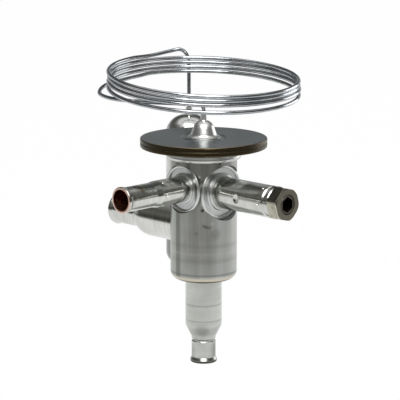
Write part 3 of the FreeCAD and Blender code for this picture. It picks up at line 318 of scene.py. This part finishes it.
# A pattern's scale comes from the distance between its marks. Real drawing and turning marks are 0.05 to
# 0.1 mm apart, too fine to show here, so they are drawn 0.4 to 3 mm apart.
metals = {
    # Deep-drawn 304 stainless: the die drags long upright streaks down the wall, and a straw-coloured
    # painted highlight lies along the rounded bottom edge
    "deepDrawnStainless": {
        "stretch": (1, 1, 0.05), "marksApart": 3.03, "streak": 0.6, "cloudsApart": 9.09,
        "dark": "#868781", "light": "#b3b5b1", "roughness": (0.27, 0.36), "bump": 0.16, "markDepth": 0.04,
        "pitsApart": 6.67,
        "zones": [
            # upright bands down the sides of the wall, darker and lighter: painted reflection of the room
            {"axis": "X", "from": 0.7, "to": -0.3, "share": 0.55, "tint": "#5d5f5a"},
            {"axis": "X", "from": -1.4, "to": -2.2, "share": 0.7, "tint": "#b2b5af"},
            {"axis": "Y", "from": -5.2, "to": -2.9, "share": 0.42, "tint": "#d0d3d1"},
            {"axis": "Y", "from": -2.6, "to": -0.8, "share": 0.5, "tint": "#a2a4a0"},
            # painted shade darkens the top half round the ports, and all inside the wall's radius stays paler
            {"axis": "Z", "from": 47.0, "to": 55.0, "share": 0.40, "tint": "#5f605c"},
            {"axis": "radius", "from": 9.92, "to": 9.70, "share": 0.7, "tint": "#dadddd"},
            # rings left by the trimming tool
            {"axis": "Z", "at": 37.6, "from": 1.10, "to": 0.10, "share": 0.20, "tint": "#6c6e69"},
            {"axis": "Z", "at": 35.2, "from": 0.70, "to": 0.10, "share": 0.20, "tint": "#c2c4c0"},
            {"axis": "Z", "at": 33.1, "from": 1.20, "to": 0.20, "share": 0.20, "tint": "#6c6e69"},
            # a dark line painted where the rounded bottom edge begins: painted reflection
            {"axis": "Z", "at": 28.6, "from": 0.55, "to": 0.10, "share": 0.50, "tint": "#62645f"},
            # a straw-coloured painted highlight on the rounded bottom edge, and the lowest edge darker brown
            {"axis": "Z", "from": 28.0, "to": 27.5, "share": 0.6, "tint": "#c6bb9c"},
            {"axis": "Z", "from": 26.95, "to": 26.65, "share": 0.9, "tint": "#574c3b"}],
        "spots": [
            # two small dents, drawn as dark spots: painted shade for their hollows
            {"middle": (6.81, -7.29, 48.64), "reach": 0.75, "share": 0.85, "tint": "#2c2c29"},
            {"middle": (9.59, -2.72, 62.72), "reach": 0.70, "share": 0.85, "tint": "#2c2c29"},
            # a small nick between the pads, drawn as a bright spot: a painted highlight
            {"middle": (6.08, -7.90, 58.74), "reach": 0.60, "share": 0.60, "tint": "#e2e4e2"},
            # a short scratch below the pads, a painted highlight at its end, and a darker patch beside it
            {"middle": (7.15, -6.95, 43.89), "reach": 0.70, "share": 0.55, "tint": "#4a4b46"},
            {"middle": (7.64, -6.40, 43.58), "reach": 0.75, "share": 0.60, "tint": "#4a4b46"},
            {"middle": (8.19, -5.69, 43.44), "reach": 0.65, "share": 0.50, "tint": "#4a4b46"},
            {"middle": (8.67, -4.92, 44.58), "reach": 0.60, "share": 0.40, "tint": "#d8dad8"},
            {"middle": (9.12, -4.02, 41.45), "reach": 2.30, "share": 0.26, "tint": "#55564f"}],
    },
    # Bright-drawn and polished stainless tube: smooth and mirror-like, with faint rings from turning
    "polishedTubeAcross": {
        "stretch": (1, 0.06, 0.06), "marksApart": 1.111, "cloudsApart": 6.67,
        "dark": "#bfc0bb", "light": "#d9dad7", "roughness": (0.12, 0.20), "bump": 0.05, "pitShare": 0.1,
    },
    # The same tube pointing forward, its lip tinted pink: a painted highlight of the copper at its mouth
    "polishedTubeForward": {
        "stretch": (0.06, 1, 0.06), "marksApart": 1.111, "cloudsApart": 6.67,
        "dark": "#bfc0bb", "light": "#d9dad7", "roughness": (0.12, 0.20), "bump": 0.05, "pitShare": 0.1,
        "zones": [{"axis": "Y", "from": -33.35, "to": -33.6, "share": 0.42, "tint": "#cf9c86"}],
    },
    # The inlet's tube is buffed less, so it mirrors softly and greyer
    "polishedTubeUpright": {
        "stretch": (0.06, 0.06, 1), "marksApart": 1.429, "cloudsApart": 6.67,
        "dark": "#b2b5ae", "light": "#cdd0cb", "roughness": (0.20, 0.28), "bump": 0.05, "pitShare": 0.1,
        "zones": [
            # two fine scribed rings, then painted shade on the shoulder, low down and darkest on the lip
            {"axis": "Z", "at": 18.25, "from": 0.40, "to": 0.06, "share": 0.36, "tint": "#6f726c"},
            {"axis": "Z", "at": 13.4, "from": 0.40, "to": 0.06, "share": 0.30, "tint": "#6f726c"},
            {"axis": "Z", "at": 9.6, "from": 2.4, "to": 0.4, "share": 0.32, "tint": "#7d807a"},
            {"axis": "Z", "from": 2.6, "to": 0.9, "share": 0.30, "tint": "#6f726c"},
            {"axis": "Z", "from": 1.0, "to": 0.5, "share": 0.95, "tint": "#3c3d39"}],
        "spots": [
            # a darker patch on the shoulder, and painted shade down both flanks of the narrow end
            {"middle": (2.91, -3.54, 10.60), "reach": 3.0, "share": 0.38, "tint": "#4b4e49"},
            {"middle": (2.95, 2.99, 4.0), "reach": 4.8, "share": 0.60, "tint": "#4b4e49"},
            {"middle": (-2.95, -2.99, 3.4), "reach": 4.0, "share": 0.40, "tint": "#4b4e49"}],
    },
    # Stainless sheet spun into the bulb: the brightest mirror here, with painted shade on its lower end
    "spunStainless": {
        "stretch": (0.06, 0.06, 1), "marksApart": 1.429, "cloudsApart": 6.67,
        "dark": "#bcbdb9", "light": "#dddedc", "roughness": (0.10, 0.17), "bump": 0.04, "pitShare": 0.05,
        "zones": [{"axis": "Z", "from": 56.0, "to": 36.0, "share": 0.75, "tint": "#656766"}],
    },
    # Stainless that was tumbled after pressing or welding: as bright, but its highlight spreads
    "tumbledStainless": {
        "stretch": (0.06, 0.06, 1), "marksApart": 1.429, "cloudsApart": 6.67,
        "dark": "#c6c7c4", "light": "#e0e1df", "roughness": (0.30, 0.38), "bump": 0.04, "pitShare": 0.05,
    },
    # Stamped stainless plate, dulled to a grey by the heat of the rim weld, with a tan and a brown edge
    "heatDulledPlate": {
        "marksApart": 0.909, "streak": 0.4, "cloudsApart": 11.1,
        "dark": "#787c7e", "light": "#8b8f90", "roughness": (0.31, 0.37), "bump": 0.01, "markDepth": 0.005,
        "pitShare": 0.12,
        # below the rim the plate is painted pale: a painted reflection of the white table
        "zones": [{"axis": "Z", "from": 66.3, "to": 66.1, "share": 0.9, "tint": "#c9cac6"},
                  {"axis": "radius", "from": 18.55, "to": 18.75, "share": 0.80, "tint": "#8b7f63"},
                  {"axis": "radius", "from": 18.86, "to": 18.93, "share": 0.97, "tint": "#38301f"}],
    },
    # Annealed copper pressed into the sockets for soldering: pinkish where bright, brown where oxidised
    "annealedCopper": {
        "marksApart": 0.667, "cloudsApart": 3.33,
        "dark": "#85553f", "light": "#e4b196", "roughness": (0.24, 0.4), "bump": 0.1, "pitTone": "#b08878",
    },
    # Hard-drawn stainless capillary, bright from the die, so each strand has a hard white line
    "brightDrawnCapillary": {
        "marksApart": 0.833, "streak": 0.4, "cloudsApart": 10.0,
        "dark": "#8f9397", "light": "#bfc2c5", "roughness": (0.12, 0.19), "bump": 0.05,
    },
    # Turned free-cutting stainless with a thin olive passivation film; the end face is darker
    "passivatedStainless": {
        "marksApart": 0.714, "streak": 0.4, "cloudsApart": 4.0,
        "dark": "#9a988a", "light": "#c6c4b4", "roughness": (0.16, 0.28), "bump": 0.12, "markDepth": 0.02,
        # painted shade makes the top near black, and a thin painted highlight runs round the end face's edge
        "zones": [{"axis": "Z", "from": 53.6, "to": 55.2, "share": 0.85, "tint": "#26251f"},
                  {"axis": "X", "from": 34.00, "to": 34.06, "share": 0.75, "tint": "#c9c7b8"},
                  {"axis": "X", "from": 34.30, "to": 34.38, "share": 0.9, "tint": "#5f5c50"}],
    },
    # Oil-blackened spindle: a thin dark oxide that stays near black down in the key hole
    "blackenedSteel": {
        "stretch": (1, 0.1, 0.1), "marksApart": 0.714, "streak": 0.4, "cloudsApart": 4.0,
        "dark": "#45423a", "light": "#66635a", "roughness": (0.28, 0.4), "bump": 0.1,
    },
    # Patented spring wire, a cooler grey than the plate
    "patentedSpringWire": {
        "marksApart": 0.667, "streak": 0.4, "cloudsApart": 5.0,
        "dark": "#8c8c8e", "light": "#b5b5b8", "roughness": (0.2, 0.3), "bump": 0.05,
    },
    # Turned stainless inside parts, with rings round their own upright axis
    "turnedStainless": {
        "stretch": (0.1, 0.1, 1), "marksApart": 0.667, "cloudsApart": 5.0,
        "dark": "#a0a09d", "light": "#c4c4c0", "roughness": (0.22, 0.34), "bump": 0.08,
    },
    # Milled brass wedge, yellow with paler cutter marks
    "milledBrass": {
        "stretch": (1, 0.1, 1), "marksApart": 0.667, "cloudsApart": 5.0,
        "dark": "#a5813b", "light": "#cfae62", "roughness": (0.25, 0.36), "bump": 0.08,
    },
    # Woven stainless gauze: 0.1 mm wires, so the relief is deep for its size
    "wovenGauze": {
        "marksApart": 0.4, "streak": 0.7, "cloudsApart": 2.5,
        "dark": "#6f6f6c", "light": "#b0b0ac", "roughness": (0.3, 0.5), "bump": 0.6, "markDepth": 0.1,
    },
    # Weld metal melted without filler: rippled, straw and brown where the heat coloured it
    "heatTintedWeld": {
        "marksApart": 0.769, "cloudsApart": 4.17,
        "dark": "#8f7f5c", "light": "#cfc7ae", "roughness": (0.22, 0.36), "bump": 0.2, "markDepth": 0.03,
    },
    # Nickel braze drawn into a joint, a soft pale grey
    "nickelBraze": {
        "marksApart": 0.769, "cloudsApart": 4.17,
        "dark": "#8b8a84", "light": "#bdbcb5", "roughness": (0.26, 0.4), "bump": 0.15, "markDepth": 0.02,
    },
    # Rim weld left in its dark oxide between the two plates
    "oxidisedSeam": {
        "marksApart": 0.625, "cloudsApart": 3.33,
        "dark": "#2e2a20", "light": "#5c5442", "roughness": (0.35, 0.55), "bump": 0.2, "markDepth": 0.02,
    },
}

# Moulded nitrile rubber: near black with a soft sheen and a very fine grain
nitrile = {
    "grainApart": 0.111, "grainDetail": 2.0,
    "dark": "#171717", "light": "#222222", "roughness": (0.45, 0.65),
}


def rubberFinish(name, values):
    material, tree, output, where = newMaterial(name)
    grain = addNode(tree, "ShaderNodeTexNoise", {
        "Scale": 1 / (values["grainApart"] * mm), "Detail": values["grainDetail"]},
        {"Vector": where}).outputs["Fac"]
    tone = addNode(tree, "ShaderNodeMix", {
        "data_type": "RGBA", 6: linearColour(values["dark"]), 7: linearColour(values["light"])}, {0: grain})
    smoothest, roughest = values["roughness"]
    rough = addNode(tree, "ShaderNodeMapRange", {"To Min": smoothest, "To Max": roughest}, {"Value": grain})
    shader = addNode(tree, "ShaderNodeBsdfPrincipled", links={
        "Base Color": tone.outputs[2], "Roughness": rough.outputs[0]})
    tree.links.new(shader.outputs[0], output.inputs["Surface"])
    return material


finish = {name: metalFinish(name, own) for name, own in metals.items()}
finish["mouldedNitrile"] = rubberFinish("mouldedNitrile", nitrile)

finishOf = {
    "deepDrawnStainless": ["valve_body"],
    "polishedTubeUpright": ["inlet_tube"],
    "spunStainless": ["sensing_bulb"],
    "tumbledStainless": ["bell_cap"],
    "polishedTubeForward": ["equalizer_tube"],
    "polishedTubeAcross": ["outlet_tube", "spindle_tube"],
    "heatDulledPlate": ["element_base", "element_cover"],
    "annealedCopper": ["inlet_liner", "equalizer_liner", "outlet_liner"],
    "brightDrawnCapillary": ["capillary_tube"],
    "passivatedStainless": ["gland_nut"],
    "blackenedSteel": ["setting_spindle"],
    "patentedSpringWire": ["superheat_spring"],
    "turnedStainless": ["spindle_bush", "diaphragm", "thrust_pad", "push_rod", "valve_cone", "spring_seat",
                        "guide_plate", "seal_washer", "orifice_seat"],
    "milledBrass": ["adjusting_wedge"],
    "wovenGauze": ["inlet_strainer"],
    "mouldedNitrile": ["inner_oring", "outer_oring", "rod_seal"],
}
for name, members in finishOf.items():
    for member in members:
        mesh = nodes[member].data
        mesh.materials.clear()
        mesh.materials.append(finish[name])
print("every CAD piece has its metal or rubber")


# Each bead goes round the axis of one node, and lies a little beyond the low or high end of a node.
# Sizes are in millimetres. A weld froze in ripples, each puckered a little, and a pressed rim is smooth.
beads = {
    "neckWeld": {
        "around": "valve_body", "faces": "Z", "node": "element_base", "end": "low", "beyond": -1.50,
        "radius": 10.35, "bead": 0.95, "ripples": 46, "pucker": 0.04,
        "finish": "tumbledStainless", "slot": "element_steel"},
    "spindlePadRim": {
        "around": "spindle_tube", "faces": "X", "node": "spindle_tube", "end": "low", "beyond": 1.40,
        "radius": 7.80, "bead": 0.50, "ripples": 40, "pucker": 0.0,
        "finish": "tumbledStainless", "slot": "body_steel"},
    "equalizerPadRim": {
        "around": "equalizer_tube", "faces": "Y", "node": "equalizer_tube", "end": "high", "beyond": -1.45,
        "radius": 6.75, "bead": 0.45, "ripples": 40, "pucker": 0.0,
        "finish": "tumbledStainless", "slot": "body_steel"},
    "floorWeld": {
        "around": "inlet_tube", "faces": "Z", "node": "valve_body", "end": "low", "beyond": -0.05,
        "radius": 5.75, "bead": 0.45, "ripples": 30, "pucker": 0.05,
        "finish": "heatTintedWeld", "slot": "body_steel"},
    "rimSeam": {
        "around": "element_cover", "faces": "Z", "node": "element_cover", "end": "low", "beyond": -0.10,
        "radius": 18.68, "bead": 0.22, "ripples": 60, "pucker": 0.03,
        "finish": "oxidisedSeam", "slot": "element_steel"},
    "bellWeld": {
        "around": "bell_cap", "faces": "Z", "node": "bell_cap", "end": "low", "beyond": 0.02,
        "radius": 4.90, "bead": 0.22, "ripples": 24, "pucker": 0.03,
        "finish": "nickelBraze", "slot": "element_steel"},
    "spindleBraze": {
        "around": "spindle_tube", "faces": "X", "node": "spindle_tube", "end": "low", "beyond": 2.00,
        "radius": 4.98, "bead": 0.52, "ripples": 20, "pucker": 0.02,
        "finish": "tumbledStainless", "slot": "body_steel"},
    "equalizerBraze": {
        "around": "equalizer_tube", "faces": "Y", "node": "equalizer_tube", "end": "high", "beyond": -1.75,
        "radius": 4.12, "bead": 0.42, "ripples": 18, "pucker": 0.02,
        "finish": "tumbledStainless", "slot": "body_steel"},
    "bellSolder": {
        "around": "bell_cap", "faces": "Z", "node": "bell_cap", "end": "high", "beyond": -0.05,
        "radius": 0.72, "bead": 0.22, "ripples": 8, "pucker": 0.02,
        "finish": "nickelBraze", "slot": "tube_steel"},
    "bulbSolder": {
        "around": "sensing_bulb", "faces": "Z", "node": "sensing_bulb", "end": "high", "beyond": -0.10,
        "radius": 0.72, "bead": 0.24, "ripples": 8, "pucker": 0.02,
        "finish": "nickelBraze", "slot": "bulb_steel"},
}
tilts = {"X": (0, 90, 0), "Y": (90, 0, 0), "Z": (0, 0, 0)}
beadSides = 12
sectionsPerRipple = 4


def middleOf(values):
    low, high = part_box(values["around"])
    middle = (low + high) / 2
    ends = dict(zip(("low", "high"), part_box(values["node"])))
    axis = "XYZ".index(values["faces"])
    middle[axis] = ends[values["end"]][axis] + values["beyond"] * mm
    # a round node's facets put its box a few microns off, so the place is rounded to 0.01 mm
    return Vector([round(place, 5) for place in middle])


def makeBead(name, values):
    # a ring of round section, fattened at one section of each ripple, then laid on its seam
    bpy.ops.object.select_all(action="DESELECT")
    sections = values["ripples"] * sectionsPerRipple
    bpy.ops.mesh.primitive_torus_add(major_segments=sections, minor_segments=beadSides,
                                     major_radius=values["radius"] * mm, minor_radius=values["bead"] * mm)
    ring = bpy.context.object
    ring.name = name
    bpy.ops.object.mode_set(mode="EDIT")
    bpy.ops.mesh.select_all(action="DESELECT")
    work = bmesh.from_edit_mesh(ring.data)
    for vertex in work.verts:
        section = round(math.atan2(vertex.co.y, vertex.co.x) / (2 * math.pi) * sections)
        vertex.select = section % sectionsPerRipple == 0
    work.select_flush_mode()
    bmesh.update_edit_mesh(ring.data)
    bpy.ops.transform.shrink_fatten(value=values["pucker"] * mm)
    bpy.ops.object.mode_set(mode="OBJECT")
    ring.rotation_euler = [math.radians(angle) for angle in tilts[values["faces"]]]
    ring.location = middleOf(values)
    bpy.ops.object.transform_apply(location=True, rotation=True, scale=True)
    bpy.ops.object.shade_smooth()
    ring.data.materials.append(finish[values["finish"]])
    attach(ring, "valve")


for name, values in beads.items():
    makeBead(name, values)
print("the welds, brazed joints and pad rims are laid")
